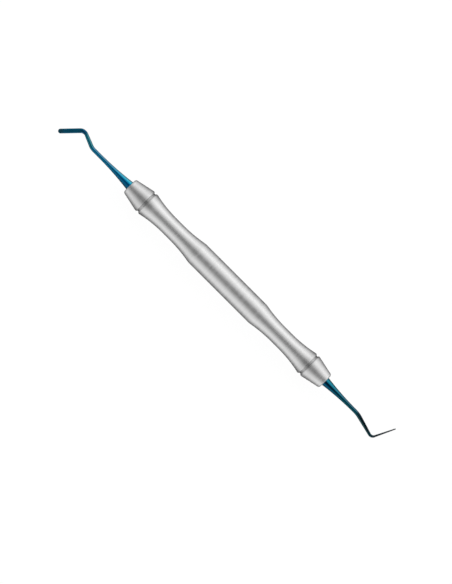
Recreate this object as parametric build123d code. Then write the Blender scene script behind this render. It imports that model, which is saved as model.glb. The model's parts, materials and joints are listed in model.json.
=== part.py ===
from build123d import *
from dataclasses import dataclass
from math import cos, pi, radians, sin
import os

# Double-ended dental filling spatula: a hollow contoured handle with a nose cone and a
# flat-bladed working end at each end.
#
# Frame, in millimetres: the origin is the centre of the straight barrel, on the handle's axis.
# +X runs along the handle to the hoe end, whose blade is turned across the plane of its bends.
# -X is the hatchet end, whose blade lies in the plane of its bends. Both ends bend in the XY
# plane. +Z is up when the instrument lies on its collars.

# ---- handle tube: outside radii and the places along X where they change ----
BARREL_R = 5.0
BARREL_HALF = 16.8
WAIST_R = 3.95
WAIST_START = 28.0
WAIST_END = 32.0
LIP_X = 43.95
LIP_R = 5.28
TUBE_HALF = 44.45
WALL = 0.7
SOCKET_R = 3.9
SOCKET_DEPTH = 4.3

# ---- the shallow groove between the tube's lip and the nose cone's rim ----
GROOVE_END = 45.1
GROOVE_EDGE_R = 4.85
NECK_R = 4.72
LIP_ROUND = 0.6

# ---- nose cone: rim, taper and end face ----
RIM_X = 45.5
RIM_R = 5.29
FACE_X = 54.0
FACE_R = 3.46
FACE_ROUND = 1.0
SPIGOT_LENGTH = 4.2
SPIGOT_CHAMFER = 0.3
BONDED_GAP = 0.01
TANG_BORE_R = 1.4

# ---- seal ring in its groove round the spigot ----
RING_GROOVE_X = 42.1
RING_GROOVE_WIDTH = 1.3
RING_GROOVE_R = 3.14
RING_WIDTH = 1.1
RING_ROUND = 0.3

# ---- tang: straight knurl, then a smooth pilot ----
TANG_LENGTH = 12.0
KNURL_START = 1.0
KNURL_LENGTH = 8.0
KNURL_TEETH = 18
KNURL_DEPTH = 0.12
PILOT_R = 1.27
PILOT_CHAMFER = 0.4

# ---- shank: a long concave flare that runs into a slim straight neck ----
SHANK_R = 1.9
NECK_START = 70.2
SHANK_NECK_R = 0.85

# ---- working ends: how their sections are built ----
KNUCKLE_SECTIONS = 8
RUN_OUT_RISE = 0.25
GRIND_DEPTH = 2.0
BLADE_TIP_EXTRA = 0.4
TIP_CUT_REACH = 3.0

EDGE_MATCH = 1e-6


@dataclass
class WorkingEnd:
    """One end in its own frame: u runs out along the handle, v across it, w is Z."""

    bend_at: float
    bend_degrees: float
    bend_radius: float
    limb_length: float
    blade_degrees: float
    blade_length: float
    knuckle_radius: float
    limb_end_r: float
    blade_width: float
    root_thickness: float
    tip_thickness: float
    flat_share: float
    run_out: float
    flat_faces_up: bool


HATCHET = WorkingEnd(
    bend_at=74.75,
    bend_degrees=22.3,
    bend_radius=5.0,
    limb_length=7.49,
    blade_degrees=46.1,
    blade_length=10.44,
    knuckle_radius=2.6,
    limb_end_r=0.77,
    blade_width=1.9,
    root_thickness=0.85,
    tip_thickness=0.35,
    flat_share=0.65,
    run_out=1.2,
    flat_faces_up=True,
)
HOE = WorkingEnd(
    bend_at=71.9,
    bend_degrees=15.2,
    bend_radius=12.0,
    limb_length=10.64,
    blade_degrees=64.2,
    blade_length=10.17,
    knuckle_radius=1.7,
    limb_end_r=0.6,
    blade_width=1.9,
    root_thickness=0.8,
    tip_thickness=0.42,
    flat_share=0.85,
    run_out=0.3,
    flat_faces_up=False,
)


def about_x(outline):
    """The solid that a closed outline in the XY plane makes when it turns about the X axis."""
    return revolve(make_face(outline), axis=Axis.X)


def drum(radius, start, end):
    """A plain cylinder on the X axis, from start to end."""
    from_its_base = (Align.CENTER, Align.CENTER, Align.MIN)
    return Plane.YZ.offset(start) * Cylinder(radius, end - start, align=from_its_base)


def rings(solid, radius):
    """The solid's round edges of one radius, from -X to +X."""
    round_edges = solid.edges().filter_by(GeomType.CIRCLE).sort_by(Axis.X)
    return [edge for edge in round_edges if abs(edge.radius - radius) < EDGE_MATCH]


def facing(solid, side):
    """The solid as it is for the +X end, or turned half a turn about Z for the -X end."""
    return solid if side > 0 else Rot(0, 0, 180) * solid


def handle_outline(inset):
    """Barrel, crease, waist, flare and lip out to both tube ends, inset from the surface."""
    barrel = BARREL_R - inset
    waist = WAIST_R - inset
    lip = LIP_R - inset
    edge = GROOVE_EDGE_R - inset
    side = Curve() + [
        Line((0, barrel), (BARREL_HALF, barrel)),
        TangentArc((WAIST_START, waist), (BARREL_HALF, barrel), tangent=(-1, 0)),
        Line((WAIST_START, waist), (WAIST_END, waist)),
        TangentArc((WAIST_END, waist), (LIP_X, lip), tangent=(1, 0)),
        Line((LIP_X, lip), (TUBE_HALF, edge)),
        Line((TUBE_HALF, edge), (TUBE_HALF, 0)),
        Line((TUBE_HALF, 0), (0, 0)),
    ]
    return side + mirror(side, about=Plane.YZ)


def handle_tube():
    """The thin contoured tube, open right through, with a socket for a nose cone at each end."""
    outside = about_x(handle_outline(0))
    outside = fillet(rings(outside, LIP_R), LIP_ROUND)
    hollow = about_x(handle_outline(WALL))
    socket_floor = TUBE_HALF - SOCKET_DEPTH
    hollow &= drum(BARREL_R, -socket_floor, socket_floor)
    tube = outside - hollow
    for side in (-1, 1):
        tube -= facing(drum(SOCKET_R, socket_floor, TUBE_HALF), side)
    return tube


def nose_cone(side):
    """A turned cone with its spigot, the groove's neck, a ring groove and the tang's bore."""
    body = about_x(Polyline(
        (GROOVE_END, 0),
        (GROOVE_END, GROOVE_EDGE_R),
        (RIM_X, RIM_R),
        (FACE_X, FACE_R),
        (FACE_X, 0),
        close=True,
    ))
    body = fillet(rings(body, RIM_R), LIP_ROUND)
    body = fillet(rings(body, FACE_R), FACE_ROUND)
    spigot_r = SOCKET_R - BONDED_GAP
    spigot_start = TUBE_HALF - SPIGOT_LENGTH
    spigot = drum(spigot_r, spigot_start, TUBE_HALF)
    spigot = chamfer(rings(spigot, spigot_r)[0], SPIGOT_CHAMFER)
    cone = body + drum(NECK_R, TUBE_HALF, RIM_X) + spigot
    groove_start = RING_GROOVE_X - RING_GROOVE_WIDTH / 2
    groove_end = RING_GROOVE_X + RING_GROOVE_WIDTH / 2
    cone -= drum(SOCKET_R, groove_start, groove_end) - drum(RING_GROOVE_R, groove_start, groove_end)
    cone -= drum(TANG_BORE_R, spigot_start, FACE_X)
    return facing(cone, side)


def seal_ring(side):
    """The rubber ring squeezed between the spigot's groove and the socket's wall."""
    inner = RING_GROOVE_R + BONDED_GAP
    outer = SOCKET_R - BONDED_GAP
    middle = (inner + outer) / 2
    section = Pos(RING_GROOVE_X, middle) * RectangleRounded(RING_WIDTH, outer - inner, RING_ROUND)
    return facing(revolve(section, axis=Axis.X), side)


def tang():
    """The end that sits in the nose cone: a straight knurl with a smooth pilot in front."""
    knurl_r = TANG_BORE_R - BONDED_GAP
    back = FACE_X - TANG_LENGTH
    pilot = drum(PILOT_R, back, FACE_X + KNURL_START)
    pilot = chamfer(rings(pilot, PILOT_R)[0], PILOT_CHAMFER)
    corners = []
    for k in range(2 * KNURL_TEETH):
        radius = knurl_r - KNURL_DEPTH * (k % 2)
        turn = pi * k / KNURL_TEETH
        corners.append((radius * cos(turn), radius * sin(turn)))
    teeth = make_face(Polyline(*corners, close=True))
    start = FACE_X - KNURL_START - KNURL_LENGTH
    return pilot + extrude(Plane.YZ.offset(start) * teeth, KNURL_LENGTH)


def turned(length, degrees, start):
    """The point that lies length from start, in a direction turned degrees from u."""
    angle = radians(degrees)
    return (start[0] + length * cos(angle), start[1] + length * sin(angle))


def ease(x):
    """A smooth step from 0 to 1 as x goes from 0 to 1."""
    return x * x * (3 - 2 * x)


def between(a, b, share):
    return a + (b - a) * share


def shank(bend_start):
    """The flare, a circular arc that runs into the slim neck, and the neck up to the bend."""
    return about_x(Curve() + [
        Line((FACE_X, 0), (FACE_X, SHANK_R)),
        TangentArc((NECK_START, SHANK_NECK_R), (FACE_X, SHANK_R), tangent=(-1, 0)),
        Line((NECK_START, SHANK_NECK_R), (bend_start, SHANK_NECK_R)),
        Line((bend_start, SHANK_NECK_R), (bend_start, 0)),
        Line((bend_start, 0), (FACE_X, 0)),
    ])


def width_way(end, along):
    """The direction of the blade's width, at a point where the path runs along."""
    return Vector(0, 0, 1).cross(along) if end.flat_faces_up else Vector(0, 0, 1)


def square_to(end, edge, share):
    """The plane square to the path at a share of an edge's length, its x the width's way."""
    along = edge % share
    return Plane(origin=edge @ share, x_dir=width_way(end, along), z_dir=along)


def oval(end, edge, share, flatness, half_thickness):
    """A section between the limb's round end, flatness 0, and the blade's oval bar, flatness 1."""
    wide = between(end.limb_end_r, end.blade_width / 2, flatness)
    thick = between(end.limb_end_r, half_thickness / end.flat_share, flatness)
    return square_to(end, edge, share) * Ellipse(wide, thick)


def ground_flats(end, blade_line):
    """The two wedges ground off the oval bar, which leave its flat faces tapering to the tip."""
    along = blade_line % 0
    frame = Plane(origin=blade_line @ 0, x_dir=along, z_dir=width_way(end, along))
    root = end.root_thickness / 2
    tip = end.tip_thickness / 2
    wedge = make_face(Polyline(
        (-end.run_out, root + RUN_OUT_RISE * end.run_out),
        (0, root),
        (blade_line.length, tip),
        (blade_line.length, GRIND_DEPTH),
        (-end.run_out, GRIND_DEPTH),
        close=True,
    ))
    wedge = extrude(wedge, GRIND_DEPTH, both=True)
    return [frame * wedge, frame * mirror(wedge, about=Plane.XZ)]


def tip_corners(end, blade_line):
    """What is left outside the full round of the tip, seen square to the flat faces."""
    along = blade_line % 1
    radius = end.blade_width / 2
    centre = blade_line @ 1 - along * (BLADE_TIP_EXTRA + radius)
    from_the_centre = (Align.MIN, Align.CENTER, Align.CENTER)
    corners = Box(2 * radius, TIP_CUT_REACH, TIP_CUT_REACH, align=from_the_centre)
    corners -= Cylinder(radius, TIP_CUT_REACH)
    return Plane(origin=centre, x_dir=along, z_dir=width_way(end, along).cross(along)) * corners


def working_end(end, side):
    """Tang, flared shank, first bend, tapering limb, knuckle and flat blade, all one piece."""
    knuckle_at = turned(end.limb_length, -end.bend_degrees, (end.bend_at, 0))
    tip = turned(end.blade_length + BLADE_TIP_EXTRA, end.blade_degrees, knuckle_at)
    path = FilletPolyline(
        (NECK_START, 0), (end.bend_at, 0), knuckle_at, tip, radius=[end.bend_radius, end.knuckle_radius]
    )
    neck_line, bend_arc, limb_line, knuckle_arc, blade_line = path.edges()
    bend = sweep(square_to(end, bend_arc, 0) * Circle(SHANK_NECK_R), path=bend_arc)
    limb = loft([
        square_to(end, limb_line, 0) * Circle(SHANK_NECK_R),
        square_to(end, limb_line, 1) * Circle(end.limb_end_r),
    ])
    turns = [square_to(end, knuckle_arc, 0) * Circle(end.limb_end_r)]
    for k in range(KNUCKLE_SECTIONS):
        share = (k + 1) / KNUCKLE_SECTIONS
        turns.append(oval(end, knuckle_arc, share, ease(share), end.root_thickness / 2))
    blade = loft([turns[-1], oval(end, blade_line, 1, 1, end.tip_thickness / 2)])
    body = shank((neck_line @ 1).X) + bend + limb + loft(turns) + blade
    body -= ground_flats(end, blade_line)
    body -= tip_corners(end, blade_line)
    return facing(tang() + body, side)


os.makedirs("parts", exist_ok=True)
PIECES = {
    "handle_tube": handle_tube(),
    "hoe_nose_cone": nose_cone(1),
    "hatchet_nose_cone": nose_cone(-1),
    "hoe_seal_ring": seal_ring(1),
    "hatchet_seal_ring": seal_ring(-1),
    "hoe_working_end": working_end(HOE, 1),
    "hatchet_working_end": working_end(HATCHET, -1),
}
for name, solid in PIECES.items():
    solid.label = name
    export_step(solid, f"parts/{name}.step")
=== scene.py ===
import json
from dataclasses import dataclass
from itertools import accumulate
from math import atan2, ceil, cos, degrees, exp, hypot, pi, radians, sin, sqrt, tan

import bpy
from mathutils import Matrix, Vector


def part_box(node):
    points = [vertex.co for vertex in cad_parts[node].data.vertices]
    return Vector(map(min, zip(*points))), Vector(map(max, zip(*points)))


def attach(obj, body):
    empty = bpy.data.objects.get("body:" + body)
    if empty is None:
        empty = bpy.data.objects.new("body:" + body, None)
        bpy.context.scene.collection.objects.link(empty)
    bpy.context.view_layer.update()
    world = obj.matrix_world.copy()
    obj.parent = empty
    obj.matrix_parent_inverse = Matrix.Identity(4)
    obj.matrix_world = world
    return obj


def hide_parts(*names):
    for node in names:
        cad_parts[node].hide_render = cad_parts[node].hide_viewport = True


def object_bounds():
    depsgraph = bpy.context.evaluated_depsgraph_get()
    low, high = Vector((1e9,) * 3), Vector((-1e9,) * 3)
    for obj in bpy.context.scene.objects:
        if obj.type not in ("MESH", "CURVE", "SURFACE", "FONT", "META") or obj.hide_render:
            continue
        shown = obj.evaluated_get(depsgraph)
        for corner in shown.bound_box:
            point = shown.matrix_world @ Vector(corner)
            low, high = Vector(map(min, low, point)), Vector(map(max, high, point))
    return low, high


# The double-ended spatula lies on its collars on a pale floor, seen from straight above.
# Lengths are in millimetres until a mesh is made, and metres from there on.

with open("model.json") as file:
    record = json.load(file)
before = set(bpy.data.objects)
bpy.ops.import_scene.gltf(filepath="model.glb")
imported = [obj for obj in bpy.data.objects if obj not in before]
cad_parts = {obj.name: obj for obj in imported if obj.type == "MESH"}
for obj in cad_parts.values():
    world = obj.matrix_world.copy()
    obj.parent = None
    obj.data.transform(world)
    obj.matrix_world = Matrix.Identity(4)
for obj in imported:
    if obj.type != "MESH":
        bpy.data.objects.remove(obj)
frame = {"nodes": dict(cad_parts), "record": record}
CAD_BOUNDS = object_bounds()
MM = 0.001
ROOT = "root"

# ---- the handle, from the frame where it gives the size ----
GRIP = next(mount for mount in frame["record"]["mounts"] if mount["name"] == "barrel_grip")
BARREL_R = GRIP["dims"]["r_mm"]
BARREL_HALF = GRIP["dims"]["length_mm"] / 2
TUBE_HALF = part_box("handle_tube")[1].x / MM
CONE_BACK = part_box("hoe_nose_cone")[0].x / MM
FACE_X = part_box("hoe_nose_cone")[1].x / MM
TANG_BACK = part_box("hoe_working_end")[0].x / MM
TANG_LENGTH = FACE_X - TANG_BACK
FLOOR_Z = CAD_BOUNDS[0].z / MM

WAIST_R = 3.95
WAIST_START = 28.0
WAIST_END = 32.0
WALL = 0.7
SOCKET_R = 3.9
SOCKET_DEPTH = 4.3
SOCKET_FLOOR = TUBE_HALF - SOCKET_DEPTH
TUBE_EDGE_ROUND = 0.08

# How far along the handle polishing has eased its creases, and how peaked that average is.
CREASE_SOFTNESS = 0.7
CREASE_PEAK = 2.0

# How far the fine meshes lie inside the CAD's surface.
SKIN = 0.006

# ---- the shallow groove between the tube's lip and the nose cone's rim ----
LIP_X = 43.95
LIP_R = 5.28
GROOVE_END = 45.1
GROOVE_EDGE_R = 4.85
NECK_R = 4.72
RIM_X = 45.5
RIM_R = 5.29
LIP_ROUND = 0.6
LIP_RUN_IN = 1.2
NECK_ROUND = 0.05
WALL_FOOT_ROUND = 0.04
# How far the buffing, and the painted shade with it, reach from the groove towards the flare and
# towards the rim.
FLARE_BUFFING_AND_SHADE_REACH = 2.4
RIM_BUFFING_AND_SHADE_REACH = 1.2
# The radius below which the groove's floor starts to get painted shade.
GROOVE_SHADE_TOP_R = 4.95

# ---- nose cones ----
FACE_R = 3.46
FACE_ROUND = 1.0
SPIGOT_R = 3.89
SPIGOT_ROUND = 0.3
RING_GROOVE_X = 42.1
RING_GROOVE_HALF = 0.65
RING_GROOVE_R = 3.14
RING_GROOVE_FOOT_ROUND = 0.1
RING_GROOVE_EDGE_ROUND = 0.05
BORE_R = 1.4
BORE_BACK_ROUND = 0.1
BORE_FRONT_ROUND = 0.06

# ---- working ends ----
TANG_R = 1.39
PILOT_R = 1.27
PILOT_CHAMFER = 0.4
KNURL_BACK = 45.0
KNURL_FRONT = 53.0
KNURL_DEPTH = 0.12
KNURL_TEETH = 18
KNURL_RUN_IN = 0.1
SHANK_R = 1.9
SHANK_FOOT = 0.09
SHANK_RUN_IN = 0.4
NECK_START = 70.2
SHANK_NECK_R = 0.85
RUN_OUT_RISE = 0.25
FLAT_EDGE = 0.05
TIP_EDGE = 0.14
TIP_THINNING = 0.8

# ---- where the coating's tint and its painted highlights and shade change, along from the cone's face ----
SHANK_TINT_AND_PAINTED_LIGHT_SPAN = (2.0, 12.0)
LIMB_TINT_AND_PAINTED_LIGHT_REACH = 1.0
KNUCKLE_ALONG = 25.5
BLADE_ALONG = 27.5
FLATS_ALONG = 29.5
TIP_ALONG = 37.0

# ---- how finely the meshes are divided ----
ARC_STEP_DEGREES = 6
ARC_STEPS_LEAST = 3
AROUND_TURNED = 224
HANDLE_ROWS = 260
HOLLOW_ROWS = 60
HOLLOW_RUN_IN = 0.05
CREASE_STEPS = 16
POINTS_PER_TOOTH = 4
AROUND_BLADE = POINTS_PER_TOOTH * KNURL_TEETH
SHANK_ROWS = 70
BEND_ROWS = 14
LIMB_ROWS = 24
KNUCKLE_ROWS = 26
BLADE_ROWS = 48
TIP_ROWS = 22
TIP_SWEEP_DEGREES = 87
TURNED_SHARP_DEGREES = 28
BLADE_SHARP_DEGREES = 32
FLAT_SHARP_DEGREES = 30


@dataclass
class WorkingEnd:
    """The sizes of one working end. Its side is 1 at the handle's +X end and -1 at the other."""

    name: str
    side: int
    bend_at: float
    bend_degrees: float
    bend_radius: float
    limb_length: float
    blade_degrees: float
    blade_length: float
    knuckle_radius: float
    limb_end_r: float
    blade_width: float
    root_thickness: float
    tip_thickness: float
    flat_share: float
    worn_from: float
    flat_faces_up: bool


HATCHET = WorkingEnd(
    name="hatchet",
    side=-1,
    bend_at=74.75,
    bend_degrees=22.3,
    bend_radius=5.0,
    limb_length=7.49,
    blade_degrees=46.1,
    blade_length=10.44,
    knuckle_radius=2.6,
    limb_end_r=0.77,
    blade_width=1.9,
    root_thickness=0.85,
    tip_thickness=0.35,
    flat_share=0.65,
    worn_from=0.72,
    flat_faces_up=True,
)
HOE = WorkingEnd(
    name="hoe",
    side=1,
    bend_at=71.9,
    bend_degrees=15.2,
    bend_radius=12.0,
    limb_length=10.64,
    blade_degrees=64.2,
    blade_length=10.17,
    knuckle_radius=1.7,
    limb_end_r=0.6,
    blade_width=1.9,
    root_thickness=0.8,
    tip_thickness=0.42,
    flat_share=0.85,
    worn_from=0.4,
    flat_faces_up=False,
)


# ---------------------------------------------------------------- small helpers

def between(a, b, share):
    return a + (b - a) * share


def ease(x):
    """A smooth step from 0 to 1 as x goes from 0 to 1."""
    x = min(max(x, 0.0), 1.0)
    return x * x * (3 - 2 * x)


def spread(start, end, count):
    """count + 1 even steps from start to end, both included."""
    return [between(start, end, k / count) for k in range(count + 1)]


def rounded(corners):
    """An outline from (x, r, corner radius) points, each corner with a radius drawn as an arc."""
    outline = []
    count = len(corners)
    for k, (x, r, radius) in enumerate(corners):
        here = Vector((x, r))
        if radius == 0:
            outline.append(here)
            continue
        back = (Vector(corners[k - 1][:2]) - here).normalized()
        ahead = (Vector(corners[(k + 1) % count][:2]) - here).normalized()
        half = back.angle(ahead) / 2
        centre = here + (back + ahead).normalized() * (radius / sin(half))
        first = here + back * (radius / tan(half)) - centre
        last = here + ahead * (radius / tan(half)) - centre
        steps = max(ARC_STEPS_LEAST, ceil(degrees(first.angle(last)) / ARC_STEP_DEGREES))
        sweep = atan2(first.x * last.y - first.y * last.x, first.dot(last))
        for share in spread(0, 1, steps):
            outline.append(centre + Matrix.Rotation(sweep * share, 2) @ first)
    return outline


def mirrored(corners):
    """The same corners at the other end of the handle, in the order that closes the outline."""
    return [(-x, r, radius) for x, r, radius in reversed(corners)]


def ring_faces(here, there, around):
    """Four-sided faces between two rings of points, whose first points are here and there."""
    faces = []
    for k in range(around):
        beside = (k + 1) % around
        faces.append((here + k, here + beside, there + beside, there + k))
    return faces


def mesh_object(name, points, faces, sharp_degrees):
    """A smooth-shaded mesh object from millimetre points, with sharp edges above an angle."""
    mesh = bpy.data.meshes.new(name)
    mesh.from_pydata([Vector(p) * MM for p in points], [], faces)
    mesh.validate()
    mesh.polygons.foreach_set("use_smooth", [True] * len(mesh.polygons))
    mesh.set_sharp_from_angle(angle=radians(sharp_degrees))
    piece = bpy.data.objects.new(name, mesh)
    bpy.context.scene.collection.objects.link(piece)
    return piece


def note_points(piece, title, values):
    """Writes one number per point on a piece, for its material to read."""
    attribute = piece.data.attributes.new(title, "FLOAT", "POINT")
    attribute.data.foreach_set("value", values)


def finished(piece, node, material):
    """Hands a piece to the frame: it rides the only body and stands for one CAD node."""
    piece.data.materials.append(material)
    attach(piece, ROOT)
    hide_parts(node)


# ---------------------------------------------------------------- turned pieces

def turned(name, outline, side):
    """A closed outline in (x, r) turned about X, and facing +X or -X as side says."""
    points = []
    faces = []
    for x, r in outline:
        for k in range(AROUND_TURNED):
            angle = 2 * pi * k / AROUND_TURNED
            points.append((side * x, side * r * cos(angle), r * sin(angle)))
    for row in range(len(outline)):
        following = (row + 1) % len(outline)
        faces += ring_faces(row * AROUND_TURNED, following * AROUND_TURNED, AROUND_TURNED)
    piece = mesh_object(name, points, faces, TURNED_SHARP_DEGREES)
    # How much the groove's lips are buffed and darkened with painted shade.
    note_points(piece, "polish", [lip_buffing_and_shade(x) for x, y, z in points])
    # Painted shade on the groove's floor.
    note_points(piece, "groove_shade", [groove_painted_shade(abs(x), hypot(y, z)) for x, y, z in points])
    return piece


def lip_buffing_and_shade(x):
    """How much a spot is buffed, and how much painted shade darkens it: most at the groove, where
    the wheel eased its lips.
    """
    past_middle = abs(x) - (LIP_X + RIM_X) / 2
    reach = RIM_BUFFING_AND_SHADE_REACH if past_middle > 0 else FLARE_BUFFING_AND_SHADE_REACH
    return exp(-((past_middle / reach) ** 2))


def groove_painted_shade(x, r):
    """How much painted shade darkens a spot: only the floor of the groove gets it."""
    if not LIP_X < x < RIM_X:
        return 0
    return ease((GROOVE_SHADE_TOP_R - r) / (GROOVE_SHADE_TOP_R - NECK_R))


def tangent_arc_rise(distance, run, rise):
    """Height above a tangent line, on the arc that rises by rise over run from it."""
    arc_r = (run * run + rise * rise) / (2 * rise)
    return arc_r - sqrt(arc_r * arc_r - distance * distance)


def handle_r(x):
    """The handle's radius where the machining passes would leave it, with hard creases."""
    x = abs(x)
    if x < BARREL_HALF:
        return BARREL_R
    if x < WAIST_START:
        run = WAIST_START - BARREL_HALF
        return WAIST_R + tangent_arc_rise(WAIST_START - x, run, BARREL_R - WAIST_R)
    if x < WAIST_END:
        return WAIST_R
    return WAIST_R + tangent_arc_rise(x - WAIST_END, LIP_X - WAIST_END, LIP_R - WAIST_R)


def polished_r(x):
    """The same radius after polishing: a bell-shaped average along the handle."""
    total = 0
    weights = 0
    for share in spread(-1, 1, CREASE_STEPS):
        weight = exp(-((CREASE_PEAK * share) ** 2))
        total += weight * handle_r(x + CREASE_SOFTNESS * share)
        weights += weight
    return total / weights - SKIN


def make_handle():
    """The thin tube: its outside, one end's lip and socket, its hollow, and the other end."""
    flare_end = LIP_X - LIP_RUN_IN
    hollow_end = SOCKET_FLOOR - HOLLOW_RUN_IN
    outside = [(x, polished_r(x), 0) for x in spread(-flare_end, flare_end, HANDLE_ROWS)]
    end = [
        (LIP_X, LIP_R - SKIN, LIP_ROUND),
        (TUBE_HALF, GROOVE_EDGE_R - SKIN, TUBE_EDGE_ROUND),
        (TUBE_HALF, SOCKET_R, TUBE_EDGE_ROUND),
        (SOCKET_FLOOR, SOCKET_R, 0),
    ]
    hollow = [(x, handle_r(x) - WALL, 0) for x in spread(hollow_end, -hollow_end, HOLLOW_ROWS)]
    return turned("handle_body", rounded(outside + end + hollow + mirrored(end)), 1)


def make_cone(name, side):
    """A nose cone from its bore's back along the spigot, the groove and the taper to its face."""
    corners = [
        (CONE_BACK, BORE_R, BORE_BACK_ROUND),
        (CONE_BACK, SPIGOT_R, SPIGOT_ROUND),
        (RING_GROOVE_X - RING_GROOVE_HALF, SPIGOT_R, RING_GROOVE_EDGE_ROUND),
        (RING_GROOVE_X - RING_GROOVE_HALF, RING_GROOVE_R, RING_GROOVE_FOOT_ROUND),
        (RING_GROOVE_X + RING_GROOVE_HALF, RING_GROOVE_R, RING_GROOVE_FOOT_ROUND),
        (RING_GROOVE_X + RING_GROOVE_HALF, SPIGOT_R, RING_GROOVE_EDGE_ROUND),
        (TUBE_HALF, SPIGOT_R, 0),
        (TUBE_HALF, NECK_R, 0),
        (GROOVE_END, NECK_R, NECK_ROUND),
        (GROOVE_END, GROOVE_EDGE_R - SKIN, WALL_FOOT_ROUND),
        (RIM_X, RIM_R - SKIN, LIP_ROUND),
        (FACE_X, FACE_R - SKIN, FACE_ROUND),
        (FACE_X, BORE_R, BORE_FRONT_ROUND),
    ]
    return turned(name, rounded(corners), side)


# ---------------------------------------------------------------- swept working ends

def bent_path(end):
    """The centreline from the tang's back: straights and arcs as (length, turn in radians)."""
    bend = radians(end.bend_degrees)
    knuckle = radians(end.bend_degrees + end.blade_degrees)
    bend_cut = end.bend_radius * tan(bend / 2)
    knuckle_cut = end.knuckle_radius * tan(knuckle / 2)
    return [
        (end.bend_at - bend_cut - TANG_BACK, 0),
        (end.bend_radius * bend, -bend),
        (end.limb_length - bend_cut - knuckle_cut, 0),
        (end.knuckle_radius * knuckle, knuckle),
        (end.blade_length - knuckle_cut, 0),
    ]


def along_path(pieces, distance):
    """(point, heading) on the centreline at a distance from its start."""
    point = Vector((TANG_BACK, 0))
    heading = 0.0
    for k, (length, turn) in enumerate(pieces):
        run = distance if k == len(pieces) - 1 else min(distance, length)
        if turn:
            ahead = heading + turn * run / length
            step = Vector((sin(ahead) - sin(heading), cos(heading) - cos(ahead)))
            point += step * (length / turn)
            heading = ahead
        else:
            point += Vector((cos(heading), sin(heading))) * run
        distance -= run
        if distance <= 0:
            break
    return point, heading


def soft_min(value, limit, blend):
    """value, held under limit with a small rounded corner."""
    h = min(max(0.5 + 0.5 * (limit - value) / blend, 0.0), 1.0)
    return between(limit, value, h) - blend * h * (1 - h)


def section(half_width, half_thick, flat):
    """(width, thickness) points round an oval bar whose faces are ground down to flat."""
    points = []
    for k in range(AROUND_BLADE):
        angle = 2 * pi * k / AROUND_BLADE
        up = half_thick * sin(angle)
        if flat < half_thick:
            held = soft_min(abs(up), flat, FLAT_EDGE)
            up = held if up > 0 else -held
        points.append((half_width * cos(angle), up))
    return points


def round_section(radius):
    return section(radius, radius, radius)


def tang_rows():
    """(distance, section) rows of the part inside the nose cone, its knurl included."""
    nose = round_section(PILOT_R - PILOT_CHAMFER)
    plain = round_section(PILOT_R)
    toothed = []
    for k in range(AROUND_BLADE):
        angle = 2 * pi * k / AROUND_BLADE
        in_tooth = k / POINTS_PER_TOOTH % 1
        radius = TANG_R - KNURL_DEPTH * abs(2 * in_tooth - 1)
        toothed.append((radius * cos(angle), radius * sin(angle)))
    knurl_start = KNURL_BACK - TANG_BACK
    knurl_end = KNURL_FRONT - TANG_BACK
    return [
        (0, nose),
        (PILOT_CHAMFER, plain),
        (knurl_start - KNURL_RUN_IN, plain),
        (knurl_start, toothed),
        (knurl_end, toothed),
        (knurl_end + KNURL_RUN_IN, plain),
        (TANG_LENGTH, plain),
    ]


def shank_r(x):
    """The shank's radius at x: a concave flare from the cone's face down to the slim neck."""
    rise = SHANK_R - SHANK_NECK_R
    return SHANK_NECK_R + tangent_arc_rise(max(NECK_START - x, 0), NECK_START - FACE_X, rise)


def shank_section(distance):
    """The round section of the shank, with a small chamfer where it meets the cone."""
    chamfer = SHANK_FOOT if distance == TANG_LENGTH else 0
    return round_section(shank_r(TANG_BACK + distance) - chamfer)


def blade_section(end, distance, stops, tip_r):
    """The section beyond the bend: the round limb, then the flattened blade and its round tip."""
    bend_end, knuckle_start, blade_start, round_start = stops[1:]
    tip = round_start + tip_r
    limb_share = min((distance - bend_end) / (knuckle_start - bend_end), 1)
    bar_r = between(SHANK_NECK_R, end.limb_end_r, limb_share)
    oval = ease((distance - knuckle_start) / (blade_start - knuckle_start))
    blade_share = max((distance - blade_start) / (tip - blade_start), 0)
    flat = between(end.root_thickness, end.tip_thickness, blade_share) / 2
    half_thick = between(bar_r, flat / end.flat_share, oval)
    half_width = between(bar_r, tip_r, oval)
    if distance < blade_start:
        flat += RUN_OUT_RISE * (blade_start - distance)
    if distance > round_start:
        half_width = sqrt(tip_r ** 2 - (distance - round_start) ** 2)
    edge = max(distance - (tip - TIP_EDGE), 0) / TIP_EDGE
    thin = sqrt(1 - TIP_THINNING * edge * edge)
    return section(half_width, half_thick * thin, flat * thin)


def row_distances(stops, tip_r):
    """How far along the path the rows lie, from the cone's face almost to the very tip.

    The stops are where the shank, the bend, the limb, the knuckle and the blade's straight
    part end. The rounded tip follows.
    """
    distances = [TANG_LENGTH, TANG_LENGTH + SHANK_FOOT]
    distances += spread(TANG_LENGTH + SHANK_RUN_IN, stops[0], SHANK_ROWS)
    counts = (BEND_ROWS, LIMB_ROWS, KNUCKLE_ROWS, BLADE_ROWS)
    for start, stop, count in zip(stops, stops[1:], counts):
        distances += spread(start, stop, count)[1:]
    for turn in spread(0, radians(TIP_SWEEP_DEGREES), TIP_ROWS)[1:]:
        distances.append(stops[-1] + tip_r * sin(turn))
    return distances


def blade_rows(end, pieces):
    """(distance, section) rows from the cone's face to the tip of the blade."""
    tip_r = end.blade_width / 2 - SKIN
    stops = list(accumulate(length for length, turn in pieces))
    stops[-1] -= SKIN + tip_r
    bend_end = stops[1]
    rows = []
    for distance in row_distances(stops, tip_r):
        if distance < bend_end:
            rows.append((distance, shank_section(distance)))
        else:
            rows.append((distance, blade_section(end, distance, stops, tip_r)))
    return rows


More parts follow.
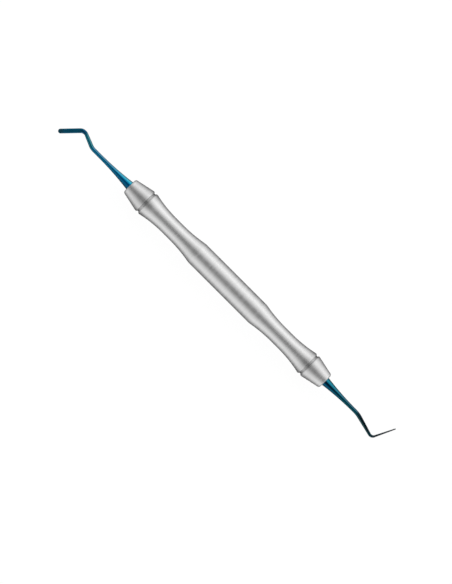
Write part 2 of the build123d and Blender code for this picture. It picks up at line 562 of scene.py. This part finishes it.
def make_working_end(end):
    """Tang, shank, limb and blade as one skin over rows of sections, with a fan at each end."""
    pieces = bent_path(end)
    rows = tang_rows() + blade_rows(end, pieces)
    points = []
    faces = []
    along = []
    across = []
    edge = []
    for distance, outline in rows:
        centre, heading = along_path(pieces, distance)
        sideways = Vector((-sin(heading), cos(heading)))
        half_width = max(width for width, thick in outline)
        for width, thick in outline:
            level, up = (width, thick) if end.flat_faces_up else (thick, -width)
            spot = centre + sideways * level
            points.append((end.side * spot.x, end.side * spot.y, up))
            along.append(distance - TANG_LENGTH)
            across.append(end.side * level / hypot(level, up))
            edge.append(ease((abs(width) / half_width - end.worn_from) / (1 - end.worn_from)))
    for row in range(len(rows) - 1):
        faces += ring_faces(row * AROUND_BLADE, (row + 1) * AROUND_BLADE, AROUND_BLADE)
    for row, flip in ((0, True), (len(rows) - 1, False)):
        centre, heading = along_path(pieces, rows[row][0])
        points.append((end.side * centre.x, end.side * centre.y, 0))
        along.append(rows[row][0] - TANG_LENGTH)
        across.append(0)
        edge.append(1)
        hub = len(points) - 1
        here = row * AROUND_BLADE
        for k in range(AROUND_BLADE):
            beside = (k + 1) % AROUND_BLADE
            pair = (here + beside, here + k) if flip else (here + k, here + beside)
            faces.append((*pair, hub))
    piece = mesh_object(f"{end.name}_blade_and_shank", points, faces, BLADE_SHARP_DEGREES)
    note_points(piece, "along", along)
    note_points(piece, "across", across)
    note_points(piece, "edge", edge)
    return piece


# ---------------------------------------------------------------- node trees

def fill(tree, socket, value):
    """Links another node's output to a socket, or sets the socket's own value."""
    if hasattr(value, "is_output"):
        tree.links.new(value, socket)
    else:
        socket.default_value = value


def add_node(tree, kind, inputs=None, **settings):
    """A new node in a tree, with its settings made and its inputs filled."""
    made = tree.nodes.new(kind)
    for key, value in settings.items():
        setattr(made, key, value)
    for key, value in (inputs or {}).items():
        fill(tree, made.inputs[key], value)
    return made


def set_ramp(node, stops):
    """Gives a colour ramp its (position, colour) stops, in place of the two that it starts with."""
    elements = node.color_ramp.elements
    while len(elements) < len(stops):
        elements.new(0.5)
    for element, (position, colour) in zip(elements, stops):
        element.position = position
        element.color = (*colour, 1)


class Shader:
    """A node material, built one named node at a time."""

    def __init__(self, name):
        self.material = bpy.data.materials.new(name)
        self.material.use_nodes = True
        self.tree = self.material.node_tree
        self.principled = self.tree.nodes["Principled BSDF"]

    def node(self, kind, inputs=None, **settings):
        """A new node in this material."""
        return add_node(self.tree, kind, inputs, **settings)

    def set(self, **sockets):
        """Fills the surface's own sockets, whose names are given with _ for each space."""
        for key, value in sockets.items():
            fill(self.tree, self.principled.inputs[key.replace("_", " ")], value)

    def noise(self, scales, detail=3.0, roughness=0.5):
        """Noise over the object's own place in metres, each axis with its own scale."""
        place = self.node("ShaderNodeTexCoord").outputs["Object"]
        scaled = self.node("ShaderNodeVectorMath", {0: place, 1: scales}, operation="MULTIPLY")
        inputs = {
            "Vector": scaled.outputs[0],
            "Scale": 1.0,
            "Detail": detail,
            "Roughness": roughness,
        }
        return self.node("ShaderNodeTexNoise", inputs).outputs["Fac"]

    def remap(self, value, low, high, to_low, to_high):
        """value moved from the range low to high into another range, and held inside it."""
        inputs = {"Value": value, 1: low, 2: high, 3: to_low, 4: to_high}
        return self.node("ShaderNodeMapRange", inputs).outputs["Result"]

    def combine(self, first, second, operation):
        """Two values added or multiplied."""
        return self.node("ShaderNodeMath", {0: first, 1: second}, operation=operation).outputs[0]

    def ramp(self, value, stops):
        """The colour that value picks from (position, colour) stops."""
        node = self.node("ShaderNodeValToRGB", {"Fac": value})
        set_ramp(node, stops)
        return node.outputs["Color"]

    def greys(self, value, dark, light, start=0.0, end=1.0):
        """A ramp from a dark grey at start to a light one at end."""
        return self.ramp(value, [(start, [dark] * 3), (end, [light] * 3)])

    def attribute(self, name):
        """The number noted on the mesh under a name."""
        return self.node("ShaderNodeAttribute", attribute_name=name).outputs["Fac"]

    def blend(self, share, first, second):
        """The first colour where share is 0 and the second where it is 1."""
        inputs = {0: share, 6: first, 7: second}
        return self.node("ShaderNodeMix", inputs, data_type="RGBA").outputs[2]

    def bump(self, height, strength, distance):
        """The surface's direction, roughened by a height that reaches distance in metres."""
        inputs = {"Height": height, "Strength": strength, "Distance": distance}
        return self.node("ShaderNodeBump", inputs).outputs["Normal"]


# ---------------------------------------------------------------- materials

# Noise scales per metre along X, Y and Z. Turned marks are long round the axis and short along it.
FINE_MARKS = (9000, 60, 60)
BROAD_MARKS = (1400, 60, 60)
COATING_DRIFT = (400, 400, 400)
COATING_STREAKS = (300, 5000, 5000)
RUBBER_GRAIN = (6000, 6000, 6000)

# Most of a noise lies between these values.
NOISE_LOW = 0.3
NOISE_HIGH = 0.7

# Steel: where its marks go from dark to light, their tone, the painted shade on the lips beside the
# groove and the painted shade on the groove's floor. Then how far its roughness varies, and what
# buffing takes off it.
MARK_LOW = 0.75
MARK_HIGH = 1.25
MARK_TONE = 0.90
LIP_SHADE_TONE = 0.82
GROOVE_SHADE_TONES = (0.43, 0.55)
SATIN_SPREAD = 0.04
BUFFING = 0.08

# Coating: how far its tint wanders along the shank in millimetres, how much brighter its worn
# edges are in places, and how far its roughness varies.
TINT_WANDER = 1.0
WORN_GAIN = 1.3
GLOSS_SPREAD = 0.03

# The coating's tints with painted highlights and shade: across the foot, shank and limb from their
# -Y side to their +Y side, in lighter and darker stripes; and along the blade from the knuckle to
# the tip. Then the colour that shows at the worn edges.
HATCHET_TINTS_AND_PAINTED_LIGHT = {
    "foot": [
        (0.0, (0.010, 0.10, 0.19)),
        (0.25, (0.006, 0.105, 0.21)),
        (0.5, (0.001, 0.23, 0.60)),
        (0.75, (0.020, 0.39, 0.55)),
        (0.88, (0.140, 0.58, 0.74)),
        (1.0, (0.140, 0.44, 0.58)),
    ],
    "shank": [
        (0.0, (0.010, 0.14, 0.24)),
        (0.275, (0.008, 0.175, 0.33)),
        (0.4, (0.006, 0.22, 0.42)),
        (0.5, (0.008, 0.25, 0.48)),
        (0.6, (0.022, 0.23, 0.42)),
        (0.725, (0.060, 0.24, 0.40)),
        (0.85, (0.110, 0.28, 0.42)),
        (1.0, (0.120, 0.28, 0.40)),
    ],
    "limb": [
        (0.0, (0.010, 0.155, 0.225)),
        (0.45, (0.014, 0.225, 0.31)),
        (0.65, (0.040, 0.26, 0.33)),
        (1.0, (0.070, 0.21, 0.25)),
    ],
    "blade": [
        (0.0, (0.012, 0.15, 0.22)),
        (0.17, (0.012, 0.080, 0.18)),
        (0.33, (0.012, 0.16, 0.30)),
        (0.46, (0.016, 0.28, 0.49)),
        (0.86, (0.016, 0.29, 0.52)),
        (1.0, (0.040, 0.22, 0.34)),
    ],
}
HOE_TINTS_AND_PAINTED_LIGHT = {
    "foot": [
        (0.0, (0.010, 0.13, 0.24)),
        (0.22, (0.006, 0.095, 0.17)),
        (0.36, (0.001, 0.040, 0.10)),
        (0.52, (0.001, 0.045, 0.12)),
        (0.62, (0.010, 0.20, 0.32)),
        (0.80, (0.018, 0.22, 0.30)),
        (1.0, (0.040, 0.22, 0.28)),
    ],
    "shank": [
        (0.0, (0.010, 0.080, 0.11)),
        (0.275, (0.008, 0.100, 0.13)),
        (0.4, (0.002, 0.105, 0.16)),
        (0.5, (0.002, 0.110, 0.17)),
        (0.6, (0.010, 0.120, 0.18)),
        (0.725, (0.034, 0.135, 0.19)),
        (0.85, (0.070, 0.145, 0.20)),
        (1.0, (0.070, 0.130, 0.19)),
    ],
    "limb": [
        (0.0, (0.034, 0.100, 0.110)),
        (0.35, (0.022, 0.075, 0.085)),
        (0.50, (0.003, 0.014, 0.022)),
        (0.70, (0.005, 0.010, 0.016)),
        (1.0, (0.016, 0.026, 0.034)),
    ],
    "blade": [
        (0.0, (0.010, 0.060, 0.080)),
        (0.3, (0.010, 0.060, 0.080)),
        (0.46, (0.012, 0.26, 0.46)),
        (1.0, (0.016, 0.27, 0.48)),
    ],
}
HATCHET_WORN = (0.035, 0.075, 0.090)
HOE_WORN = (0.052, 0.045, 0.038)


def turned_steel(name, brightness, roughness):
    """Satin stainless steel with fine marks round the axis, left by turning and polishing, and
    painted shade beside and in the groove.
    """
    shader = Shader(name)
    fine = shader.noise(FINE_MARKS, roughness=0.6)
    broad = shader.noise(BROAD_MARKS)
    mark = shader.combine(fine, broad, "ADD")
    tone = shader.remap(mark, MARK_LOW, MARK_HIGH, 0.0, 1.0)
    dark = brightness * MARK_TONE
    unshaded_marks = shader.greys(tone, dark, brightness)
    # Painted shade: the lips beside the groove get darker greys.
    painted_lip_shade = shader.greys(tone, dark * LIP_SHADE_TONE, brightness * LIP_SHADE_TONE)
    shaded_marks = shader.blend(shader.attribute("polish"), unshaded_marks, painted_lip_shade)
    # Painted shade: the groove's floor gets darker greys.
    painted_groove_shade = shader.greys(fine, *GROOVE_SHADE_TONES, NOISE_LOW, NOISE_HIGH)
    low, high = roughness - SATIN_SPREAD, roughness + SATIN_SPREAD
    satin = shader.remap(broad, NOISE_LOW, NOISE_HIGH, low, high)
    buffed = shader.remap(shader.attribute("polish"), 0.0, 1.0, 0.0, -BUFFING)
    shader.set(
        Base_Color=shader.blend(shader.attribute("groove_shade"), shaded_marks, painted_groove_shade),
        Metallic=1.0,
        Roughness=shader.combine(satin, buffed, "ADD"),
        Specular_Tint=(0.80, 0.80, 0.82, 1),
        Normal=shader.bump(mark, strength=0.10, distance=0.00004),
    )
    return shader.material


def blue_coating(end, tints_and_painted_light, worn_colour, roughness):
    """Hard blue coating over polished steel: painted highlights and shade round the shank, its tint
    shifting along it.
    """
    shader = Shader(f"{end.name}_blue_coating")
    along = shader.attribute("along")
    drift = shader.noise(COATING_DRIFT)
    wander = shader.remap(drift, NOISE_LOW, NOISE_HIGH, -TINT_WANDER, TINT_WANDER)
    shifted = shader.combine(along, wander, "ADD")
    around = shader.remap(shader.attribute("across"), -1.0, 1.0, 0.0, 1.0)
    bend_along = end.bend_at - FACE_X
    limb_span = (bend_along - LIMB_TINT_AND_PAINTED_LIGHT_REACH, bend_along + LIMB_TINT_AND_PAINTED_LIGHT_REACH)
    # Painted highlights and shade: each ramp across the shank gives it lighter and darker stripes
    # along its length.
    tint_and_painted_light = shader.ramp(around, tints_and_painted_light["foot"])
    for region, (begins, ends) in (("shank", SHANK_TINT_AND_PAINTED_LIGHT_SPAN), ("limb", limb_span)):
        share = shader.remap(shifted, begins, ends, 0.0, 1.0)
        tint_and_painted_light = shader.blend(share, tint_and_painted_light, shader.ramp(around, tints_and_painted_light[region]))
    lengthwise = shader.remap(shifted, KNUCKLE_ALONG, TIP_ALONG, 0.0, 1.0)
    on_blade = shader.remap(along, KNUCKLE_ALONG, BLADE_ALONG, 0.0, 1.0)
    tint_and_painted_light = shader.blend(on_blade, tint_and_painted_light, shader.ramp(lengthwise, tints_and_painted_light["blade"]))
    on_flats = shader.remap(along, BLADE_ALONG, FLATS_ALONG, 0.0, 1.0)
    worn = shader.combine(shader.attribute("edge"), on_flats, "MULTIPLY")
    brightened = [WORN_GAIN * value for value in worn_colour]
    bare = shader.ramp(drift, [(NOISE_LOW, worn_colour), (NOISE_HIGH, brightened)])
    low, high = roughness - GLOSS_SPREAD, roughness + GLOSS_SPREAD
    streaks = shader.noise(COATING_STREAKS, detail=2.0)
    shader.set(
        Base_Color=shader.blend(worn, tint_and_painted_light, bare),
        Metallic=1.0,
        Roughness=shader.remap(drift, NOISE_LOW, NOISE_HIGH, low, high),
        Specular_Tint=(0.55, 0.85, 0.95, 1),
        Normal=shader.bump(streaks, strength=0.06, distance=0.00002),
    )
    return shader.material


def seal_rubber():
    """Matt black rubber with a fine moulded grain."""
    shader = Shader("seal_ring_rubber")
    grain = shader.noise(RUBBER_GRAIN)
    shades = [(NOISE_LOW, (0.020, 0.020, 0.022)), (NOISE_HIGH, (0.034, 0.034, 0.036))]
    shader.set(
        Base_Color=shader.ramp(grain, shades),
        Roughness=shader.remap(grain, NOISE_LOW, NOISE_HIGH, 0.6, 0.75),
        Normal=shader.bump(grain, strength=0.2, distance=0.00003),
    )
    return shader.material


# ---------------------------------------------------------------- stage, light and camera

FLOOR_HALF = 4000.0

# How far the studio's bands wrap under the instrument towards its ends, and how much
# brighter the +X end of the studio is.
END_LIFT = 0.5
END_SLOPE = 0.14

# Angle from straight up, in degrees, positive towards +Y, and how bright the studio is there.
STUDIO_BANDS = [
    (-180, 0.06),
    (-125, 0.10),
    (-100, 0.50),
    (-85, 0.90),
    (-60, 0.92),
    (-42, 0.76),
    (-27, 0.35),
    (-12, 0.12),
    (4, 0.11),
    (14, 0.27),
    (28, 0.90),
    (45, 0.86),
    (75, 0.88),
    (90, 0.84),
    (105, 0.55),
    (125, 0.14),
    (180, 0.06),
]


def make_floor():
    """A pale floor, almost white by itself, that the steel doesn't mirror."""
    signs = ((-1, -1), (1, -1), (1, 1), (-1, 1))
    corners = [(x * FLOOR_HALF, y * FLOOR_HALF, FLOOR_Z) for x, y in signs]
    floor = mesh_object("floor", corners, [(0, 1, 2, 3)], FLAT_SHARP_DEGREES)
    shader = Shader("pale_floor")
    shader.set(
        Base_Color=(0.15, 0.15, 0.15, 1),
        Roughness=1.0,
        Specular_IOR_Level=0.0,
        Emission_Color=(1, 1, 1, 1),
        Emission_Strength=0.94,
    )
    floor.data.materials.append(shader.material)
    floor.visible_glossy = False


def make_world():
    """Soft studio surroundings in long bands beside the handle, dark straight above and below."""
    world = bpy.data.worlds.new("studio")
    bpy.context.scene.world = world
    world.use_nodes = True
    tree = world.node_tree
    tree.nodes.clear()

    def calculate(operation, *values):
        inputs = dict(enumerate(values))
        return add_node(tree, "ShaderNodeMath", inputs, operation=operation).outputs[0]

    way = add_node(tree, "ShaderNodeTexCoord").outputs["Generated"]
    parts = add_node(tree, "ShaderNodeSeparateXYZ", {0: way}).outputs
    lengthwise = calculate("ABSOLUTE", parts["X"])
    lifted = calculate("MULTIPLY_ADD", lengthwise, END_LIFT, parts["Z"])
    turn = calculate("ARCTAN2", parts["Y"], lifted)
    circle = {"Value": turn, 1: -pi, 2: pi, 3: 0.0, 4: 1.0}
    share = add_node(tree, "ShaderNodeMapRange", circle).outputs[0]
    ramp = add_node(tree, "ShaderNodeValToRGB", {"Fac": share})
    ramp.color_ramp.interpolation = "B_SPLINE"
    set_ramp(ramp, [((angle + 180) / 360, [light] * 3) for angle, light in STUDIO_BANDS])
    bands = ramp.outputs["Color"]
    slope = calculate("MULTIPLY_ADD", parts["X"], END_SLOPE, 1.0)
    seen = add_node(tree, "ShaderNodeLightPath").outputs["Is Camera Ray"]
    strengths = {0: seen, 2: slope, 3: 1.0}
    strength = add_node(tree, "ShaderNodeMix", strengths, data_type="FLOAT").outputs[0]
    colours = {0: seen, 6: bands, 7: (1, 1, 1, 1)}
    colour = add_node(tree, "ShaderNodeMix", colours, data_type="RGBA").outputs[2]
    background = add_node(tree, "ShaderNodeBackground", {"Color": colour, "Strength": strength})
    add_node(tree, "ShaderNodeOutputWorld", {0: background.outputs[0]})


def softbox(name, angle_degrees, distance, length, width, radiance):
    """A long soft light beside the handle, facing it, not seen by the camera."""
    light = bpy.data.lights.new(name, "AREA")
    light.shape = "RECTANGLE"
    light.size = length
    light.size_y = width
    light.energy = radiance * pi * length * width
    box = bpy.data.objects.new(name, light)
    angle = radians(angle_degrees)
    box.location = (0, sin(angle) * distance, cos(angle) * distance)
    box.rotation_euler = (-angle, 0, 0)
    box.visible_camera = False
    bpy.context.scene.collection.objects.link(box)


def make_camera():
    """Straight down on the instrument, turned so that +X runs to the picture's lower right."""
    distance = 1.6
    frame_height = 0.2281
    offset_right = -0.00059
    offset_up = -0.00328
    right = Vector((1, 1, 0)).normalized()
    up = Vector((-1, 1, 0)).normalized()
    camera = bpy.data.cameras.new("camera")
    camera.lens = camera.sensor_width * distance / frame_height
    camera.clip_start = 0.01
    camera.clip_end = 50
    stand = bpy.data.objects.new("camera", camera)
    place = right * offset_right + up * offset_up + Vector((0, 0, distance))
    stand.matrix_world = Matrix.Translation(place) @ Matrix((
        (right.x, up.x, 0, 0),
        (right.y, up.y, 0, 0),
        (0, 0, 1, 0),
        (0, 0, 0, 1),
    ))
    bpy.context.scene.collection.objects.link(stand)
    bpy.context.scene.camera = stand


# ---------------------------------------------------------------- build

handle_steel = turned_steel("satin_handle_steel", brightness=0.91, roughness=0.41)
cone_steel = turned_steel("satin_cone_steel", brightness=0.89, roughness=0.435)
coatings = {
    "hatchet": blue_coating(HATCHET, HATCHET_TINTS_AND_PAINTED_LIGHT, HATCHET_WORN, roughness=0.28),
    "hoe": blue_coating(HOE, HOE_TINTS_AND_PAINTED_LIGHT, HOE_WORN, roughness=0.13),
}
rubber = seal_rubber()

finished(make_handle(), "handle_tube", handle_steel)
for end in (HATCHET, HOE):
    cone = make_cone(f"{end.name}_cone", end.side)
    finished(cone, f"{end.name}_nose_cone", cone_steel)
    blade = make_working_end(end)
    finished(blade, f"{end.name}_working_end", coatings[end.name])
    ring = frame["nodes"][f"{end.name}_seal_ring"]
    for slot in ring.material_slots:
        slot.material = rubber

make_floor()
make_world()
softbox("key_softbox", angle_degrees=62, distance=1.2, length=1.6, width=0.35, radiance=0.5)
make_camera()
bpy.context.scene.view_settings.view_transform = "Standard"
